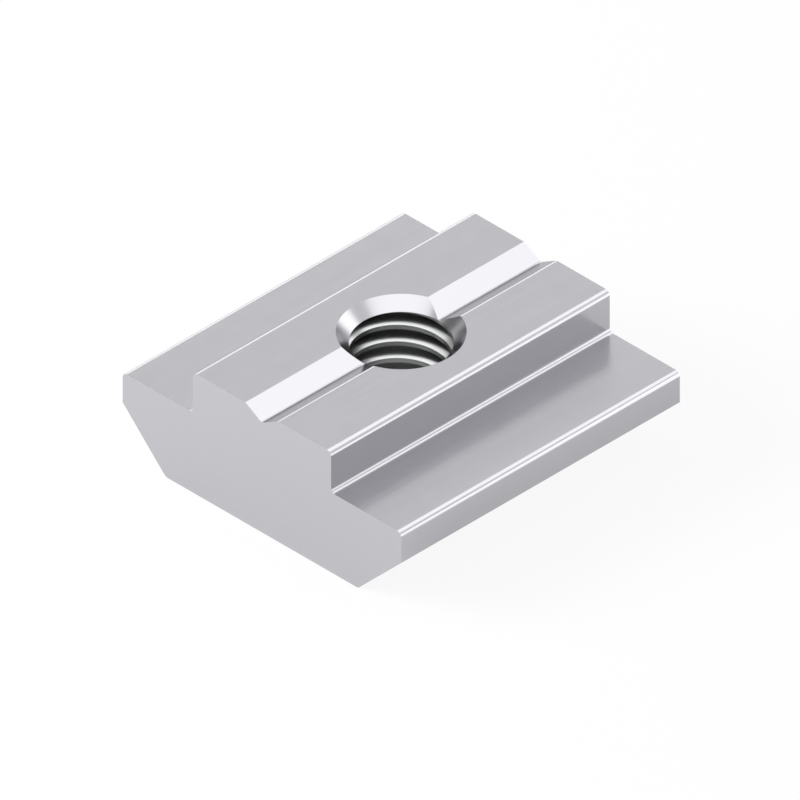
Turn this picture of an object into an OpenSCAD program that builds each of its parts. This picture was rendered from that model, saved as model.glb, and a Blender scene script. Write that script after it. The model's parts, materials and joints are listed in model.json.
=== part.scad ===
// T slot nut: a short length of stepped steel bar with a V groove along its top face
// and a countersunk thread through its middle.
// Frame: millimetres, +Z up, +Y along the slot, origin at the middle of the underside.

/* [Bar] */
// Width across the wings, measured across the slot
nut_w = 15.5; // [14.5:0.1:18]
// Length along the slot
nut_l = 15.5; // [8:0.5:40]
// Height from the underside to the top of the collar
nut_h = 5.8; // [5.6:0.1:7]

/* [Collar] */
// Width of the collar that stands between the lips of the slot
collar_w = 7.7; // [6.5:0.1:8]
// Height of the collar above the shoulders
collar_h = 1.95; // [1.2:0.05:2.2]

/* [Wings] */
// Size of the 45 degree bevel under each wing, both across and up
bevel = 2.4; // [1.5:0.1:2.8]

/* [Groove] */
// Width of the V groove at the top face
groove_w = 1.8; // [1:0.1:2.2]
// Angle between the two flanks of the groove
groove_angle = 120; // [100:5:140]

/* [Edges] */
// Radius of the long outer edges of the collar, the shoulders and the underside
edge_r = 0.25; // [0.1:0.05:0.4]
// Radius at the foot of the collar and at the lips and root of the groove
inner_r = 0.2; // [0.05:0.05:0.25]

/* [Thread] */
// Nominal size of the thread
thread_d = 5; // [4:0.5:5]
// Pitch of the thread
thread_pitch = 0.8; // [0.5:0.05:0.8]
// Width of the countersinks at the top face and at the underside
sink_d = 5.15; // [5.1:0.05:5.5]
// Full angle of the countersinks
sink_angle = 90; // [90:10:120]

/* [Hidden] */

// The basic minor diameter of a metric thread is the nominal size less this many pitches
minor_per_pitch = 1.0825;
minor_d = thread_d - minor_per_pitch * thread_pitch;
sink_depth = (sink_d - minor_d) / 2 / tan(sink_angle / 2);
groove_depth = groove_w / 2 / tan(groove_angle / 2);
shoulder_z = nut_h - collar_h;
// Cutters run past the faces that they open by this much
past = 1;
round_fn = 96;
sharp = 0;

// Corners of the section on its right side, from the underside up, each with its radius
right_side = [
    [[nut_w / 2 - bevel, 0], edge_r],
    [[nut_w / 2, bevel], sharp],
    [[nut_w / 2, shoulder_z], edge_r],
    [[collar_w / 2, shoulder_z], inner_r],
    [[collar_w / 2, nut_h], edge_r],
    [[groove_w / 2, nut_h], inner_r]
];
groove_root = [[0, nut_h - groove_depth], inner_r];
left_side = [for (i = [len(right_side) - 1 : -1 : 0])
    [[-right_side[i][0][0], right_side[i][0][1]], right_side[i][1]]];
corners = concat(right_side, [groove_root], left_side);

function unit(v) = v / norm(v);
function place(i) = corners[(i + len(corners)) % len(corners)][0];
function radius(i) = corners[i][1];
// Unit vectors from a corner towards the one before it and the one after it
function back(i) = unit(place(i - 1) - place(i));
function ahead(i) = unit(place(i + 1) - place(i));
function half_angle(i) = acos(back(i) * ahead(i)) / 2;
function is_inner(i) = cross(back(i), ahead(i)) > 0;
// Middle of the arc that touches both edges of a corner, and how far along them it touches
function arc_middle(i) = place(i) + unit(back(i) + ahead(i)) * radius(i) / sin(half_angle(i));
function reach(i) = radius(i) / tan(half_angle(i));
function corner_points(i) = radius(i) == sharp
    ? [place(i)]
    : [place(i) + reach(i) * back(i), arc_middle(i), place(i) + reach(i) * ahead(i)];

// Full circles at the middles of the arcs of either the inner or the outer corners
module arcs(inner) {
    for (i = [0 : len(corners) - 1])
        if (radius(i) > sharp && is_inner(i) == inner)
            translate(arc_middle(i)) circle(r = radius(i), $fn = round_fn);
}

// Section of the bar across the slot, with x across and y up. Each rounded corner is
// a notch to the middle of its arc: a circle fills an outer one and clears an inner one.
module bar_section() {
    difference() {
        union() {
            polygon([for (i = [0 : len(corners) - 1]) each corner_points(i)]);
            arcs(inner = false);
        }
        arcs(inner = true);
    }
}

// The bar, cut to length square to the slot
module bar() {
    rotate([90, 0, 0])
        linear_extrude(height = nut_l, center = true)
            bar_section();
}

// Cone that opens the bore at a face on z = 0, pointing down
module countersink() {
    translate([0, 0, -sink_depth])
        cylinder(h = sink_depth + past, d1 = minor_d,
                 d2 = sink_d + 2 * past * tan(sink_angle / 2), $fn = round_fn);
}

// Bore at the crests of the thread, with a countersink at both faces
module thread_hole() {
    translate([0, 0, -past])
        cylinder(h = nut_h + 2 * past, d = minor_d, $fn = round_fn);
    translate([0, 0, nut_h]) countersink();
    mirror([0, 0, 1]) countersink();
}

module nut() {
    color("silver")
        difference() {
            bar();
            thread_hole();
        }
}

nut();
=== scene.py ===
"""A T slot nut of satin zinc-plated steel, with the thread cut in its hole, on a pale studio floor.

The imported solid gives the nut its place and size. Its hole is plain, so the nut is made again here
as one closed surface with the full thread, worked out from the same few sizes, and the metal gets
its finish. All lengths are in metres, +Z is up and +Y runs along the slot.
"""

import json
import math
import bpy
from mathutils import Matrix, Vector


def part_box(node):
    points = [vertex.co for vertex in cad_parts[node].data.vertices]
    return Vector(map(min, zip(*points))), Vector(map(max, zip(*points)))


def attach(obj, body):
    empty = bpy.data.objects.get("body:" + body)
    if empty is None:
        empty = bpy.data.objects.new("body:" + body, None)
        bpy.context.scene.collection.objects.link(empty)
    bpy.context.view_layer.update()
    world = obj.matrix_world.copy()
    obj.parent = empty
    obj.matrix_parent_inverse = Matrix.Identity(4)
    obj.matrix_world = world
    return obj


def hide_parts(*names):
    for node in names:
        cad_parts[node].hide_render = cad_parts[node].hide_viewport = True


bl_info = {
    "name": "T Slot Nut",
    "version": (1, 0, 0),
    "blender": (4, 5, 0),
    "location": "View3D > Sidebar > Slot Nut",
    "description": "Makes a T slot nut with a cut thread and the studio that shows it",
    "category": "Add Mesh",
}

import bpy
import numpy as np
from mathutils import Vector

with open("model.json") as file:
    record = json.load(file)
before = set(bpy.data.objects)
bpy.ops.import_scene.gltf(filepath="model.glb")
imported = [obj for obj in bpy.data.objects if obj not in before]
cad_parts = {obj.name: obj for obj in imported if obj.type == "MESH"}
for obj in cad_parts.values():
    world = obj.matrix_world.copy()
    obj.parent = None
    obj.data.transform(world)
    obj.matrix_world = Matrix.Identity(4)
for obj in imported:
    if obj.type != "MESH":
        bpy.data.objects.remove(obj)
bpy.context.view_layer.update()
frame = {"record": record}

MM = 0.001
LOW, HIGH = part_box("nut")
MOUNTS = {mount["name"]: mount for mount in frame["record"]["mounts"]}
SHOULDER_Z = MOUNTS["shoulder_right"]["pos_m"][2]
STEEL = frame["record"]["materials"][0]


class NutSizes(bpy.types.PropertyGroup):
    """The sizes that shape the nut."""

    width: bpy.props.FloatProperty(
        name="Width", description="Across the wings",
        default=HIGH.x - LOW.x, unit="LENGTH", precision=5)
    length: bpy.props.FloatProperty(
        name="Length", description="Along the slot",
        default=HIGH.y - LOW.y, unit="LENGTH", precision=5)
    height: bpy.props.FloatProperty(
        name="Height", description="From the underside to the top of the collar",
        default=HIGH.z - LOW.z, unit="LENGTH", precision=5)
    collar_width: bpy.props.FloatProperty(
        name="Collar Width", description="Across the collar that stands between the slot's lips",
        default=7.7 * MM, unit="LENGTH", precision=5)
    collar_height: bpy.props.FloatProperty(
        name="Collar Height", description="From the shoulders to the top of the collar",
        default=HIGH.z - SHOULDER_Z, unit="LENGTH", precision=5)
    bevel: bpy.props.FloatProperty(
        name="Bevel", description="Size of the bevel under each wing, across and up",
        default=2.4 * MM, unit="LENGTH", precision=5)
    groove_width: bpy.props.FloatProperty(
        name="Groove Width", description="Width of the V groove at the top face",
        default=1.8 * MM, unit="LENGTH", precision=5)
    groove_angle: bpy.props.FloatProperty(
        name="Groove Angle", description="Angle between the two flanks of the groove",
        default=math.radians(120), subtype="ANGLE")
    edge_radius: bpy.props.FloatProperty(
        name="Edge Radius", description="Radius of the long outer edges",
        default=0.25 * MM, unit="LENGTH", precision=5)
    inner_radius: bpy.props.FloatProperty(
        name="Inner Radius", description="Radius at the collar's foot and in the groove",
        default=0.2 * MM, unit="LENGTH", precision=5)
    sharp_radius: bpy.props.FloatProperty(
        name="Sharp Radius", description="Radius left on the sharp lower edge of each wing",
        default=0.02 * MM, unit="LENGTH", precision=6)
    thread_size: bpy.props.FloatProperty(
        name="Thread Size", description="Nominal size of the thread",
        default=5 * MM, unit="LENGTH", precision=5)
    thread_pitch: bpy.props.FloatProperty(
        name="Thread Pitch", description="Rise of the thread in one turn",
        default=0.8 * MM, unit="LENGTH", precision=5)
    thread_start: bpy.props.FloatProperty(
        name="Thread Start", description="Where round the hole a crest runs out at the top face",
        default=math.radians(285.75), subtype="ANGLE")
    sink_width: bpy.props.FloatProperty(
        name="Countersink Width", description="Width of the countersink at each face",
        default=5.15 * MM, unit="LENGTH", precision=5)
    sink_angle: bpy.props.FloatProperty(
        name="Countersink Angle", description="Full angle of the countersinks",
        default=math.radians(90), subtype="ANGLE")


class SteelFinish(bpy.types.PropertyGroup):
    """The look of the plated metal."""

    colour: bpy.props.FloatVectorProperty(
        name="Colour", description="Colour of the zinc plate",
        default=STEEL["base_color"], subtype="COLOR", min=0.0, max=1.0)
    thread_colour: bpy.props.FloatVectorProperty(
        name="Thread Colour", description="Colour of the thread, where the plate is thinner",
        default=(0.556, 0.561, 0.561), subtype="COLOR", min=0.0, max=1.0)
    edge_tint: bpy.props.FloatProperty(
        name="Edge Tint", description="How much of a plain metal's glare is left at a glancing angle",
        default=0.65, subtype="FACTOR", min=0.0, max=1.0)
    roughness: bpy.props.FloatProperty(
        name="Roughness", description="How far the plate blurs what it reflects",
        default=0.21, subtype="FACTOR", min=0.0, max=1.0)
    # Painted shade: how much the base colour is darkened at the root of the upper thread
    painted_root_shade: bpy.props.FloatProperty(
        name="Root Shade", description="How much duller the plate is at the root of the upper thread",
        default=0.4, subtype="FACTOR", min=0.0, max=1.0)
    grain_depth: bpy.props.FloatProperty(
        name="Grain Depth", description="Depth of the lines left by the die, the saw and the tap",
        default=0.0004 * MM, unit="LENGTH", precision=7)


class StudioSettings(bpy.types.PropertyGroup):
    """The floor, the light and the picture."""

    floor_colour: bpy.props.FloatVectorProperty(
        name="Floor Colour", description="Colour of the floor",
        default=(0.95, 0.95, 0.955), subtype="COLOR", min=0.0, max=1.0)
    seen_white: bpy.props.FloatProperty(
        name="Seen White", description="Share of pure white in the floor as the camera sees it",
        default=0.90, subtype="FACTOR", min=0.0, max=1.0)
    mirrored_white: bpy.props.FloatProperty(
        name="Mirrored White", description="Share of pure white in the floor as the metal shows it",
        default=0.4, subtype="FACTOR", min=0.0, max=1.0)
    white_in_hole: bpy.props.FloatProperty(
        name="White in Hole", description="The same share for the floor right below the hole",
        default=0.3, subtype="FACTOR", min=0.0, max=1.0)
    air_light: bpy.props.FloatProperty(
        name="Air Light", description="Brightness of the air as it lights the floor",
        default=0.6, min=0.0)
    air_mirrored: bpy.props.FloatProperty(
        name="Air Mirrored", description="Brightness of the air as the metal shows it",
        default=0.80, min=0.0)
    outer_shade: bpy.props.FloatProperty(
        name="Outer Shade", description="How much darker the air is on the studio's left side",
        default=0.25, subtype="FACTOR", min=0.0, max=1.0)
    inner_shade: bpy.props.FloatProperty(
        name="Inner Shade", description="How much darker again it is in the middle of that side",
        default=0.5, subtype="FACTOR", min=0.0, max=1.0)
    low_shade: bpy.props.FloatProperty(
        name="Low Shade", description="How much darker the air is just above the horizon",
        default=0.6, subtype="FACTOR", min=0.0, max=1.0)
    softbox_brightness: bpy.props.FloatProperty(
        name="Softbox Brightness", description="Brightness of the softboxes that the metal shows",
        default=1.0, min=0.0)
    key_brightness: bpy.props.FloatProperty(
        name="Key Brightness", description="Brightness of the lamp that throws the shadow",
        default=9.5, min=0.0)
    lamp_distance: bpy.props.FloatProperty(
        name="Lamp Distance", description="From the nut to each lamp but the one at its side",
        default=200 * MM, unit="LENGTH", precision=5)
    side_distance: bpy.props.FloatProperty(
        name="Side Distance", description="From the nut's middle to the softbox at its side",
        default=24 * MM, unit="LENGTH", precision=5)
    picture_width: bpy.props.FloatProperty(
        name="Picture Width", description="Width of what the camera sees",
        default=31.47 * MM, unit="LENGTH", precision=5)
    picture_right: bpy.props.FloatProperty(
        name="Picture Right", description="How far right of the picture's middle the top face is",
        default=0.049 * MM, unit="LENGTH", precision=6)
    picture_up: bpy.props.FloatProperty(
        name="Picture Up", description="How far above the picture's middle the top face is",
        default=2.691 * MM, unit="LENGTH", precision=6)


# Shape of the nut

# Points along each rounded corner, and steps along half of the hole's rim
ARC_STEPS = 13
RIM_STEPS = 180
# Flats of the thread's crest and root, as shares of the pitch
CREST_SHARE = 1 / 4
ROOT_SHARE = 1 / 8
# How far a flank leans from square to the axis, and how much more its normals lean at the crest
FLANK_LEAN = math.radians(30)
FLANK_CROWN = math.radians(4.5)
# Turns of thread laid out past each end of the hole, before the helix is cut to its height
SPARE_TURNS = 2
# Decimals of a metre to which points are rounded, so that those that fall together become one
MERGE_DIGITS = 10


def unit(vectors):
    """Vectors scaled to length one."""
    return vectors / np.linalg.norm(vectors, axis=-1, keepdims=True)


def section_corners(sizes):
    """Corners of the section across the slot, as rows of x, z and radius.

    They run counterclockwise from the right end of the underside. The left side is the right side
    mirrored, in the opposite order.
    """
    half = sizes.width / 2
    collar = sizes.collar_width / 2
    lip = sizes.groove_width / 2
    shoulder = sizes.height - sizes.collar_height
    right = np.array([
        (half - sizes.bevel, 0, sizes.edge_radius),
        (half, sizes.bevel, sizes.sharp_radius),
        (half, shoulder, sizes.edge_radius),
        (collar, shoulder, sizes.inner_radius),
        (collar, sizes.height, sizes.edge_radius),
        (lip, sizes.height, sizes.inner_radius),
    ])
    root = (0, sizes.height - lip / math.tan(sizes.groove_angle / 2), sizes.inner_radius)
    return np.vstack([right, root, right[::-1] * (-1, 1, 1)])


def rounded_outline(corners):
    """Points and outward normals along a counterclockwise outline with rounded corners.

    The normals of a corner's arc turn evenly from the normal of the edge before it to the normal
    of the edge after it. The arc's middle lies behind the corner along the mean of those two, by
    radius / cos(half the turn), and each point is the middle plus radius times its normal. At an
    inner corner the turn is clockwise and the radius counts negative, so one rule serves both.
    """
    place = corners[:, :2]
    edge = unit(np.roll(place, -1, axis=0) - place)
    after = np.stack([edge[:, 1], -edge[:, 0]], axis=-1)
    before = np.roll(after, 1, axis=0)
    turn = np.arctan2(before[:, 0] * after[:, 1] - before[:, 1] * after[:, 0],
                      (before * after).sum(axis=-1))
    start = np.arctan2(before[:, 1], before[:, 0])
    angle = start[:, None] + turn[:, None] * np.linspace(0, 1, ARC_STEPS)
    normals = np.stack([np.cos(angle), np.sin(angle)], axis=-1)
    radius = corners[:, 2] * np.sign(turn)
    middle = place - unit(before + after) * (radius / np.cos(turn / 2))[:, None]
    points = middle[:, None] + radius[:, None, None] * normals
    return points.reshape(-1, 2), normals.reshape(-1, 2)


def thread_steps(sizes):
    """Lengths along the axis of a flank and of the root's flat.

    Two flanks, that flat and the crest's flat make a pitch.
    """
    crest = sizes.thread_pitch * CREST_SHARE
    root = sizes.thread_pitch * ROOT_SHARE
    return (sizes.thread_pitch - crest - root) / 2, root


def crest_radius(sizes):
    """Distance of the thread's crests from the axis: a flank lies flank / tan(30 degrees) deep."""
    flank = thread_steps(sizes)[0]
    return sizes.thread_size / 2 - flank / math.tan(FLANK_LEAN)


def thread_rise(sizes, angle):
    """How far the thread has risen from its start at an angle round the hole.

    The thread is right-handed, so it rises by a pitch for each turn counterclockwise.
    """
    return sizes.thread_pitch * (angle - sizes.thread_start) / (2 * math.pi)


def thread_phase(sizes, angle, height):
    """Height above the upper edge of the crest below, from 0 to a pitch."""
    return np.mod(height - sizes.height - thread_rise(sizes, angle), sizes.thread_pitch)


def thread_radius(sizes, angle, height):
    """Distance of the thread's surface from the axis.

    Above a crest it leaves the axis along one flank, follows the root's flat and comes back along
    the other flank, at a slope of 1 / tan(30 degrees).
    """
    flank, root = thread_steps(sizes)
    phase = thread_phase(sizes, angle, height)
    along = np.clip(np.minimum(phase, 2 * flank + root - phase), 0, flank)
    return crest_radius(sizes) + along / math.tan(FLANK_LEAN)


def sink_radius(sizes, below):
    """Distance of a countersink's wall from the axis, so far below the face that it opens in."""
    return sizes.sink_width / 2 - below * math.tan(sizes.sink_angle / 2)


def sink_height(sizes):
    """Height of a countersink, which ends where its wall is as wide as the thread's crests."""
    return (sizes.sink_width / 2 - crest_radius(sizes)) / math.tan(sizes.sink_angle / 2)


def around_axis(angle, radius, height):
    """Points at an angle round the hole, a distance from its axis and a height."""
    parts = (radius * np.cos(angle), radius * np.sin(angle), height)
    return np.stack(np.broadcast_arrays(*parts), axis=-1)


def top_across_hole(sizes, points, normals):
    """Points and normals of the top face where the hole cuts it, from right to left.

    They are the outline's own points there and the cosines of even steps round the hole, so that
    the groove's rounds and the hole's rim are both followed closely.
    """
    half = sizes.sink_width / 2
    across = (np.abs(points[:, 0]) < half) & (points[:, 1] > sizes.height / 2)
    own = points[across][::-1]
    even = half * np.cos(np.linspace(0, math.pi, RIM_STEPS + 1))
    x = np.unique(np.concatenate([own[:, 0], even]).round(MERGE_DIGITS))[::-1]
    x[[0, -1]] = half, -half
    z = np.interp(x, own[:, 0], own[:, 1])
    normal = [np.interp(x, own[:, 0], part) for part in normals[across][::-1].T]
    return across, np.stack([x, z], axis=-1), unit(np.stack(normal, axis=-1))


def cells(grid):
    """The four corners of each cell of a grid, turning from its first direction to its second."""
    corners = [grid[:-1, :-1], grid[1:, :-1], grid[1:, 1:], grid[:-1, 1:]]
    return np.stack(corners, axis=2).reshape(-1, 4, 3)


def upright(section, y):
    """Points of the section, given as x and z, at the distance y along the slot."""
    return np.stack([section[..., 0], np.broadcast_to(y, section.shape[:-1]), section[..., 1]],
                    axis=-1)


class HalfBar:
    """The bar's skin on one side of the hole's middle plane, and the rims that it leaves.

    The section's outline is carried straight along the slot from the middle plane, or from the
    hole's rim where the outline crosses the hole, to the end of the bar. At a height on the top
    face the countersink's radius is known, and the rim's y is sqrt(radius squared - x squared).
    """

    def __init__(self, sizes, side):
        points, normals = rounded_outline(section_corners(sizes))
        across, top, top_normals = top_across_hole(sizes, points, normals)
        first, last = np.flatnonzero(across)[[0, -1]]
        x, z = top.T
        radius = sink_radius(sizes, sizes.height - z)
        y = side * np.sqrt(np.maximum(radius ** 2 - x ** 2, 0))
        self.angle = np.arctan2(y, x)
        self.top_rim = upright(top, y)
        self.under_rim = around_axis(self.angle, sizes.sink_width / 2, 0.0)
        under = self.under_rim[::-1][:, [0, 2]]
        section = np.vstack([points[:first], top, points[last + 1:], under, points[:1]])
        normal = np.vstack([normals[:first], top_normals, normals[last + 1:],
                            np.broadcast_to((0, -1), under.shape), normals[:1]])
        inner = np.vstack([upright(points[:first], 0), self.top_rim,
                           upright(points[last + 1:], 0), self.under_rim[::-1],
                           upright(points[:1], 0)])
        outer = upright(section, side * sizes.length / 2)
        # On the near side the rows swap places, so that its cells face outwards too
        rows = np.stack([inner, outer][::side])
        self.skin = cells(rows), cells(np.stack([upright(normal, 0)] * 2))
        self.end = outer[:-1][::-side]


def facing_axis(places, by_angle, by_height):
    """Normals of a wall whose distance from the axis grows so with the angle and with the height.

    A normal is (-1, growth with angle / distance, growth with height) in the directions away from
    the axis, round it and up, scaled to length one.
    """
    angle = np.arctan2(places[..., 1], places[..., 0])
    distance = np.hypot(places[..., 0], places[..., 1])
    level = np.zeros_like(distance)
    away = np.stack([np.cos(angle), np.sin(angle), level], axis=-1)
    sideways = np.stack([-np.sin(angle), np.cos(angle), level], axis=-1)
    upward = np.stack([level, level, level + by_height], axis=-1)
    return unit(-away + (by_angle / distance)[..., None] * sideways + upward)


def thread_band(sizes, angle, low, high):
    """Corners and normals of the thread's cells between two heights.

    Rows follow the edges of the flanks and flats up the helix, and stop at the two heights. A
    cell's normals are those of the one flank or flat that it lies on, so every edge stays crisp.
    Towards its crest a flank's normals lean a little more, as on a flank that the tap has crowned.
    """
    flank, root = thread_steps(sizes)
    edges = np.cumsum([0, flank, root, flank])
    turns_down = math.ceil(sizes.height / sizes.thread_pitch)
    turns = np.arange(-turns_down - SPARE_TURNS, SPARE_TURNS + 1)
    start = sizes.height + (turns[:, None] * sizes.thread_pitch + edges).ravel()
    height = np.clip(start[:, None] + thread_rise(sizes, angle), low, high)
    places = cells(around_axis(angle, thread_radius(sizes, angle, height), height))
    # Growth of the radius with height at the lower and upper edge of each flank and flat in turn,
    # then for the four corners of a cell, and then for every cell round the hole
    at_crest, at_root = 1 / math.tan(FLANK_LEAN + FLANK_CROWN), 1 / math.tan(FLANK_LEAN)
    by_edge = [(at_crest, at_root), (0, 0), (-at_root, -at_crest), (0, 0)]
    by_corner = np.tile(by_edge, (len(turns), 1))[:-1, [0, 1, 1, 0]]
    by_height = np.repeat(by_corner, len(angle) - 1, axis=0)
    return places, facing_axis(places, -by_height * sizes.thread_pitch / (2 * math.pi), by_height)


def wall_of_hole(sizes, far, near):
    """Patches of the hole's wall, from the underside up: countersink, ledge, thread, ledge and
    countersink. The thread's groove opens below the countersinks, each of which stays whole.
    """
    angle = np.concatenate([far.angle, 2 * math.pi + near.angle[-2::-1]])
    top_rim = np.vstack([far.top_rim, near.top_rim[-2::-1]])
    under_rim = np.vstack([far.under_rim, near.under_rim[-2::-1]])
    taper = math.tan(sizes.sink_angle / 2)
    low = sink_height(sizes)
    high = sizes.height - low
    throats = [around_axis(angle, crest_radius(sizes), height) for height in (low, high)]
    brims = [around_axis(angle, thread_radius(sizes, angle, height), height)
             for height in (low, high)]
    lower_sink = cells(np.stack([under_rim, throats[0]]))
    lower_ledge = cells(np.stack([throats[0], brims[0]]))
    upper_ledge = cells(np.stack([brims[1], throats[1]]))
    upper_sink = cells(np.stack([throats[1], top_rim]))
    return [
        (lower_sink, facing_axis(lower_sink, 0, -taper)),
        (lower_ledge, np.broadcast_to((0, 0, 1), lower_ledge.shape)),
        thread_band(sizes, angle, low, high),
        (upper_ledge, np.broadcast_to((0, 0, -1), upper_ledge.shape)),
        (upper_sink, facing_axis(upper_sink, 0, taper)),
    ]


def closed_mesh(name, patches, rings):
    """A mesh of the patches' cells and the rings' flat faces, with their normals.

    Points that fall together become one vertex. A cell that loses a corner that way becomes a
    triangle, and one that loses two is left out.
    """
    corners = np.concatenate([places for places, _ in patches])
    normals = np.concatenate([normals for _, normals in patches])
    places = np.vstack([corners.reshape(-1, 3)] + [ring for ring, _ in rings])
    vertices, index = np.unique(places.round(MERGE_DIGITS) + 0.0, axis=0, return_inverse=True)
    index = index.ravel()
    quads = index[:corners.shape[0] * 4].reshape(-1, 4)
    kept = quads != np.roll(quads, 1, axis=1)
    kept[kept.sum(axis=1) < 3] = False
    counts = kept.sum(axis=1)
    ring_sizes = [len(ring) for ring, _ in rings]
    loops = np.concatenate([quads[kept], index[quads.size:]])
    loop_normals = np.vstack([normals[kept]] + [
        np.broadcast_to(normal, ring.shape) for ring, normal in rings])
    sizes = np.concatenate([counts[counts > 0], ring_sizes])
    starts = np.concatenate([[0], np.cumsum(sizes)[:-1]])
    mesh = bpy.data.meshes.new(name)
    mesh.vertices.add(len(vertices))
    mesh.vertices.foreach_set("co", vertices.ravel())
    mesh.loops.add(len(loops))
    mesh.loops.foreach_set("vertex_index", loops)
    mesh.polygons.add(len(sizes))
    mesh.polygons.foreach_set("loop_start", starts)
    mesh.polygons.foreach_set("use_smooth", np.ones(len(sizes), bool))
    mesh.update(calc_edges=True)
    mesh.normals_split_custom_set(loop_normals)
    return mesh


def nut_mesh(sizes):
    """The whole nut: the two halves of the bar, its two ends and the wall of the hole."""
    far = HalfBar(sizes, 1)
    near = HalfBar(sizes, -1)
    patches = [far.skin, near.skin, *wall_of_hole(sizes, far, near)]
    rings = [(far.end, (0, 1, 0)), (near.end, (0, -1, 0))]
    return closed_mesh("slot_nut", patches, rings)


# Materials

# How long the grains of each pattern are in x, y and z
DRAWN_GRAIN = (0.10 * MM, 9 * MM, 0.10 * MM)
SAWN_GRAIN = (7 * MM, 7 * MM, 0.11 * MM)
TAPPED_GRAIN = (3 * MM, 3 * MM, 0.03 * MM)
MOTTLE_GRAIN = (0.9 * MM, 0.9 * MM, 0.9 * MM)
# How much the lines and the mottle change the plate's shade and its roughness
LINE_SHADE, MOTTLE_SHADE = 0.02, 0.01
LINE_ROUGHNESS, MOTTLE_ROUGHNESS = 0.05, 0.03
# How deep in the thread, as shares of its depth, the painted shade in the root starts and is full
SHADE_SHARES = (0.05, 0.45)
# How high, as shares of the nut's height, that painted shade starts and is full
FADE_SHARES = (0.45, 0.75)
# How far a mask reaches past the faces that it covers
MASK_MARGIN = 0.001 * MM


class Signal:
    """A shader socket that can stand in a formula: each operator adds its Math node."""

    def __init__(self, tree, socket):
        self.tree = tree
        self.socket = socket

    def math(self, operation, first, second=0.0):
        """The Math node of that operation on two numbers or signals."""
        return self.tree.add("ShaderNodeMath", {"operation": operation}, {0: first, 1: second})

    def __add__(self, other):
        return self.math("ADD", self, other)

    def __sub__(self, other):
        return self.math("SUBTRACT", self, other)

    def __rsub__(self, other):
        return self.math("SUBTRACT", other, self)

    def __mul__(self, other):
        return self.math("MULTIPLY", self, other)

    def __gt__(self, other):
        return self.math("GREATER_THAN", self, other)

    def __lt__(self, other):
        return self.math("LESS_THAN", self, other)

    def __abs__(self):
        return self.math("ABSOLUTE", self)

    __radd__ = __add__
    __rmul__ = __mul__


class ShaderTree:
    """The node tree of a material or a world, emptied."""

    def __init__(self, owner):
        owner.use_nodes = True
        self.tree = owner.node_tree
        self.tree.nodes.clear()

    def add(self, kind, settings=(), sockets=(), output=0):
        """Adds a node: sets it up, fills or links its sockets, and gives one of its outputs."""
        node = self.tree.nodes.new(kind)
        for name, value in dict(settings).items():
            setattr(node, name, value)
        for key, value in dict(sockets).items():
            if isinstance(value, Signal):
                self.tree.links.new(value.socket, node.inputs[key])
            else:
                node.inputs[key].default_value = value
        return Signal(self, node.outputs[output]) if node.outputs else node

    def streaks(self, place, spread, detail=2.0):
        """Noise from -0.5 to 0.5, in grains as long in x, y and z as spread says, in metres."""
        scaled = self.add("ShaderNodeVectorMath", {"operation": "MULTIPLY"},
                          {0: place, 1: [1 / length for length in spread]})
        noise = self.add("ShaderNodeTexNoise", {}, {
            "Vector": scaled, "Scale": 1.0, "Detail": detail})
        return noise - 0.5


def painted_shade_towards_root(tree, sizes, from_axis, height):
    """From 0 to 1 as the painted shade deepens, towards the thread's root and up the hole.

    It takes the distance from the axis squared, and so sets it against the squares of two radii.
    """
    crest, root = crest_radius(sizes), sizes.thread_size / 2
    shallow, deep = [(crest + share * (root - crest)) ** 2 for share in SHADE_SHARES]
    low, high = [share * sizes.height for share in FADE_SHARES]
    inward = tree.add("ShaderNodeMapRange", {"interpolation_type": "SMOOTHSTEP"}, {
        "Value": from_axis, "From Min": shallow, "From Max": deep})
    upward = tree.add("ShaderNodeMapRange", {}, {
        "Value": height, "From Min": low, "From Max": high})
    return inward * upward


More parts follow.
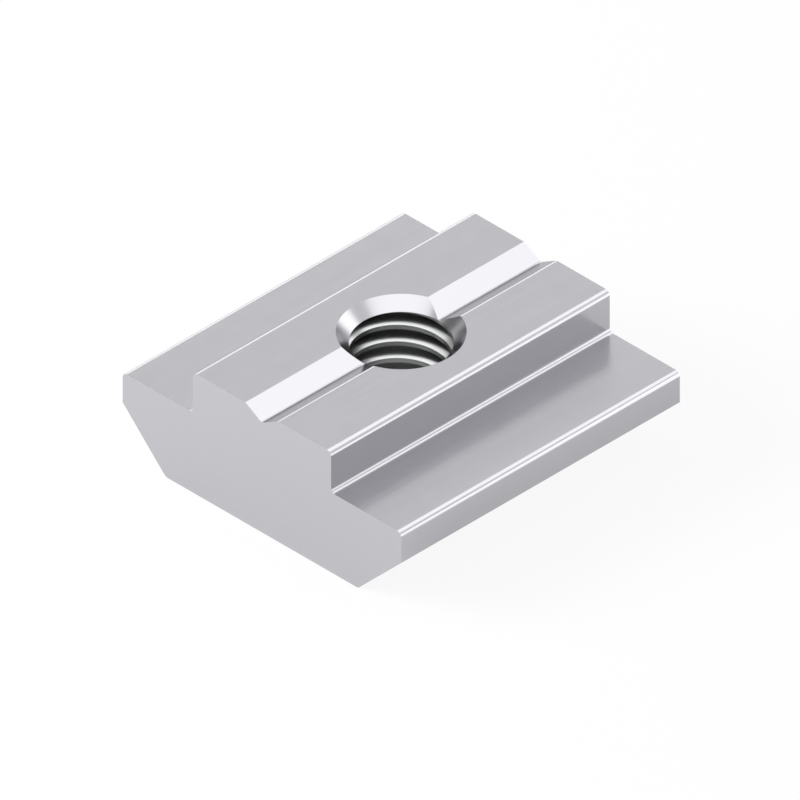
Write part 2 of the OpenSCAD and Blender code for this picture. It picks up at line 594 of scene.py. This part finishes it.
def satin_zinc(finish, sizes):
    """Satin zinc plate over drawn steel.

    Fine lines run along the slot where the die drew the bar, across the two ends where the saw cut
    it, and round the hole where the tap turned. The plate itself is very slightly mottled. In the
    thread it has a colour of its own, and painted shade darkens it towards the root.
    """
    material = bpy.data.materials.new("satin_zinc")
    tree = ShaderTree(material)
    place = tree.add("ShaderNodeTexCoord", output="Object")
    parts = tree.add("ShaderNodeSeparateXYZ", {}, {"Vector": place})
    x, y, z = [Signal(tree, output) for output in parts.socket.node.outputs]
    middle = sizes.height / 2
    from_axis = x * x + y * y
    on_end = abs(y) > sizes.length / 2 - MASK_MARGIN
    in_hole = from_axis < (sizes.sink_width / 2 + MASK_MARGIN) ** 2
    in_thread = in_hole * (abs(z - middle) < middle - sink_height(sizes) + MASK_MARGIN)
    # Painted shade: the base colour darkens in the roots of the upper thread
    painted_shade = finish.painted_root_shade * in_thread * painted_shade_towards_root(tree, sizes, from_axis, z)
    # This node's colours go in at 6 and 7, and the mixed colour comes out at 2
    metal = tree.add("ShaderNodeMix", {"data_type": "RGBA"}, {
        0: in_thread, 6: (*finish.colour, 1.0), 7: (*finish.thread_colour, 1.0)}, output=2)
    drawn = tree.streaks(place, DRAWN_GRAIN)
    sawn = tree.streaks(place, SAWN_GRAIN)
    tapped = tree.streaks(place, TAPPED_GRAIN)
    lines = drawn + on_end * (sawn - drawn) + in_hole * (tapped - drawn)
    mottle = tree.streaks(place, MOTTLE_GRAIN, detail=4.0)
    # The lines and the mottle vary the shade at random; the last factor is the painted shade in the
    # thread's roots
    shade = (1 + LINE_SHADE * lines + MOTTLE_SHADE * mottle) * (1 - painted_shade)
    colour = tree.add("ShaderNodeVectorMath", {"operation": "SCALE"},
                      {0: metal, "Scale": shade})
    bump = tree.add("ShaderNodeBump", {}, {"Strength": 1.0, "Distance": finish.grain_depth,
                                          "Height": lines})
    surface = tree.add("ShaderNodeBsdfPrincipled", {}, {
        "Base Color": colour,
        "Metallic": 1.0,
        "Roughness": finish.roughness + LINE_ROUGHNESS * lines + MOTTLE_ROUGHNESS * mottle,
        "Specular Tint": (*[finish.edge_tint] * 3, 1.0),
        "Normal": bump,
    })
    tree.add("ShaderNodeOutputMaterial", {}, {"Surface": surface})
    return material


# Studio

# How far the floor reaches to each side, and how far the camera stands from the top face
FLOOR_REACH = 1.0
CAMERA_DISTANCE = 0.1
# How many times nearer and farther than the nut the camera still sees
CLIP_FACTOR = 100
# Azimuth, elevation, width and height of each lamp in degrees, as seen from the nut, and its
# brightness, as a share of the studio's setting
OVERHEAD_BOX = (0, 90, 91, 91, 0.90)
REAR_BOX = (75, 23, 60, 17, 1.15)
LEFT_BOX = (138, 14, 44, 28, 1.45)
SIDE_BOX = (25, 13, 67, 26, 1.10)
KEY_LAMP = (225, 30, 34, 28, 1.10)
# Where the air is darkest, as azimuth and elevation, and how far round it the outer and the inner
# shade reach, in degrees
DARK_PLACE = (204, 24)
DARK_REACHES = (40, 13)
# How far up from the horizon the low shade reaches, in degrees
LOW_REACH = 8


def rays_of(tree, *kinds):
    """1 for rays of the given kinds, such as camera or glossy rays, and 0 for all others."""
    path = tree.add("ShaderNodeLightPath").socket.node.outputs
    return sum(Signal(tree, path[kind]) for kind in kinds)


def pale_floor(studio, sizes):
    """Matt pale floor, lifted towards white for the camera and, less, for the metal's reflections.

    The lift is less again below the hole, where little light would reach it.
    """
    material = bpy.data.materials.new("pale_floor")
    tree = ShaderTree(material)
    place = tree.add("ShaderNodeTexCoord", output="Object")
    parts = tree.add("ShaderNodeSeparateXYZ", {}, {"Vector": place})
    x, y = [Signal(tree, output) for output in parts.socket.node.outputs[:2]]
    in_hole = (x * x + y * y) < (sizes.sink_width / 2) ** 2
    mirrored = studio.mirrored_white + in_hole * (studio.white_in_hole - studio.mirrored_white)
    lift = (studio.seen_white * rays_of(tree, "Is Camera Ray")
            + mirrored * rays_of(tree, "Is Glossy Ray", "Is Transmission Ray"))
    matt = tree.add("ShaderNodeBsdfDiffuse", {}, {"Color": (*studio.floor_colour, 1.0)})
    white = tree.add("ShaderNodeEmission", {}, {"Color": (1, 1, 1, 1), "Strength": 1.0})
    surface = tree.add("ShaderNodeMixShader", {}, {0: lift, 1: matt, 2: white})
    tree.add("ShaderNodeOutputMaterial", {}, {"Surface": surface})
    return material


def direction(azimuth, elevation):
    """The direction at an azimuth and an elevation, in degrees."""
    azimuth, elevation = math.radians(azimuth), math.radians(elevation)
    return Vector((math.cos(elevation) * math.cos(azimuth),
                   math.cos(elevation) * math.sin(azimuth), math.sin(elevation)))


def studio_air(studio):
    """The air round the stage, which is white to the camera. The metal shows it brighter than it
    lights the floor, darker just above the horizon, and shaded in two steps round its darkest place.
    """
    world = bpy.data.worlds.new("studio_air")
    tree = ShaderTree(world)
    towards = tree.add("ShaderNodeTexCoord", output="Generated")
    parts = tree.add("ShaderNodeSeparateXYZ", {}, {"Vector": towards})
    upward = Signal(tree, parts.socket.node.outputs["Z"])
    nearness = tree.add("ShaderNodeVectorMath", {"operation": "DOT_PRODUCT"},
                        {0: towards, 1: direction(*DARK_PLACE)}, output="Value")
    mirrored = rays_of(tree, "Is Glossy Ray", "Is Transmission Ray")
    low = upward < math.sin(math.radians(LOW_REACH))
    outer, inner = [nearness > math.cos(math.radians(reach)) for reach in DARK_REACHES]
    shade = 1 - studio.low_shade * low - studio.outer_shade * outer - studio.inner_shade * inner
    lift = (rays_of(tree, "Is Camera Ray") * (1 - studio.air_light)
            + mirrored * (studio.air_mirrored * shade - studio.air_light))
    air = tree.add("ShaderNodeBackground", {}, {
        "Color": (1, 1, 1, 1), "Strength": studio.air_light + lift})
    tree.add("ShaderNodeOutputWorld", {}, {"Surface": air})
    return world


def pale_sheet(name, reach):
    """A flat square mesh on the ground that reaches so far to each side."""
    mesh = bpy.data.meshes.new(name)
    corners = [(-reach, -reach, 0), (reach, -reach, 0), (reach, reach, 0), (-reach, reach, 0)]
    mesh.from_pydata(corners, [], [(0, 1, 2, 3)])
    return mesh


def soft_lamp(name, shape, settings, distance, brightness):
    """A lamp that faces the nut from its place. Its power is brightness times pi times its area."""
    lamp = bpy.data.lights.new(name, "AREA")
    lamp.shape = shape
    azimuth, elevation, width, height, share = settings
    lamp.size = 2 * distance * math.tan(math.radians(width / 2))
    lamp.size_y = 2 * distance * math.tan(math.radians(height / 2))
    area = lamp.size * lamp.size_y * {"RECTANGLE": 1, "ELLIPSE": math.pi / 4}[shape]
    lamp.energy = share * brightness * math.pi * area
    holder = bpy.data.objects.new(name, lamp)
    towards = direction(azimuth, elevation)
    holder.location = towards * distance
    holder.rotation_euler = towards.to_track_quat("Z", "Y").to_euler()
    return holder


def studio_lamps(studio):
    """The softboxes that only the metal shows, and the key lamp that only lights the floor.

    One softbox hangs overhead, one stands low behind, one low on the left and one close by on the
    right. The key lamp stands in front on the left, so the shadow falls behind to the right.
    """
    bright, far, close = studio.softbox_brightness, studio.lamp_distance, studio.side_distance
    boxes = [
        soft_lamp("overhead_softbox", "ELLIPSE", OVERHEAD_BOX, far, bright),
        soft_lamp("rear_softbox", "RECTANGLE", REAR_BOX, far, bright),
        soft_lamp("left_softbox", "RECTANGLE", LEFT_BOX, far, bright),
        soft_lamp("side_softbox", "RECTANGLE", SIDE_BOX, close, bright),
    ]
    for box in boxes:
        box.visible_diffuse = False
        box.visible_camera = False
    key = soft_lamp("key_lamp", "RECTANGLE", KEY_LAMP, far, studio.key_brightness)
    key.visible_glossy = False
    return [*boxes, key]


def isometric_camera(studio):
    """The camera, which looks down on the nut's right front corner as in an isometric drawing."""
    camera = bpy.data.cameras.new("camera")
    camera.type = "ORTHO"
    camera.ortho_scale = studio.picture_width
    camera.clip_start = CAMERA_DISTANCE / CLIP_FACTOR
    camera.clip_end = CAMERA_DISTANCE * CLIP_FACTOR
    back = Vector((1, -1, 1)).normalized()
    right = Vector((1, 1, 0)).normalized()
    aim = (Vector((0, 0, HIGH.z)) - right * studio.picture_right
           - back.cross(right) * studio.picture_up)
    holder = bpy.data.objects.new("camera", camera)
    holder.location = aim + back * CAMERA_DISTANCE
    holder.rotation_euler = back.to_track_quat("Z", "Y").to_euler()
    return holder


# Operators

class SLOTNUT_OT_make_nut(bpy.types.Operator):
    """Make the slot nut with its thread and its satin zinc finish"""

    bl_idname = "slot_nut.make_nut"
    bl_label = "Make Slot Nut"

    def execute(self, context):
        sizes = context.scene.slot_nut_sizes
        nut = bpy.data.objects.new("slot_nut", nut_mesh(sizes))
        context.scene.collection.objects.link(nut)
        nut.data.materials.append(satin_zinc(context.scene.slot_nut_finish, sizes))
        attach(nut, "root")
        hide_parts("nut")
        return {"FINISHED"}


class SLOTNUT_OT_set_stage(bpy.types.Operator):
    """Set the floor, the soft light and the camera round the nut"""

    bl_idname = "slot_nut.set_stage"
    bl_label = "Set Stage"

    def execute(self, context):
        scene = context.scene
        studio = scene.slot_nut_studio
        floor = bpy.data.objects.new("studio_floor", pale_sheet("studio_floor", FLOOR_REACH))
        floor.data.materials.append(pale_floor(studio, scene.slot_nut_sizes))
        scene.camera = isometric_camera(studio)
        for item in (floor, scene.camera, *studio_lamps(studio)):
            scene.collection.objects.link(item)
        scene.world = studio_air(studio)
        scene.view_settings.view_transform = "Standard"
        return {"FINISHED"}


class SLOTNUT_PT_panel(bpy.types.Panel):
    """Slot nut tools"""

    bl_label = "Slot Nut"
    bl_idname = "SLOTNUT_PT_panel"
    bl_space_type = "VIEW_3D"
    bl_region_type = "UI"
    bl_category = "Slot Nut"

    def draw(self, context):
        for settings in ("slot_nut_sizes", "slot_nut_finish", "slot_nut_studio"):
            group = getattr(context.scene, settings)
            for name in group.__annotations__:
                self.layout.prop(group, name)
        for operator in OPERATORS:
            self.layout.operator(operator.bl_idname)


OPERATORS = (SLOTNUT_OT_make_nut, SLOTNUT_OT_set_stage)
SETTINGS = {
    "slot_nut_sizes": NutSizes,
    "slot_nut_finish": SteelFinish,
    "slot_nut_studio": StudioSettings,
}


def register():
    """Adds the settings, the operators and the panel to Blender."""
    for name, group in SETTINGS.items():
        bpy.utils.register_class(group)
        setattr(bpy.types.Scene, name, bpy.props.PointerProperty(type=group))
    for part in (*OPERATORS, SLOTNUT_PT_panel):
        bpy.utils.register_class(part)


def unregister():
    """Takes them away again."""
    for part in (SLOTNUT_PT_panel, *OPERATORS):
        bpy.utils.unregister_class(part)
    for name, group in SETTINGS.items():
        delattr(bpy.types.Scene, name)
        bpy.utils.unregister_class(group)


def main():
    """Registers the add-on and makes the nut and its stage."""
    register()
    bpy.ops.slot_nut.make_nut()
    bpy.ops.slot_nut.set_stage()


if __name__ == "__main__":
    main()
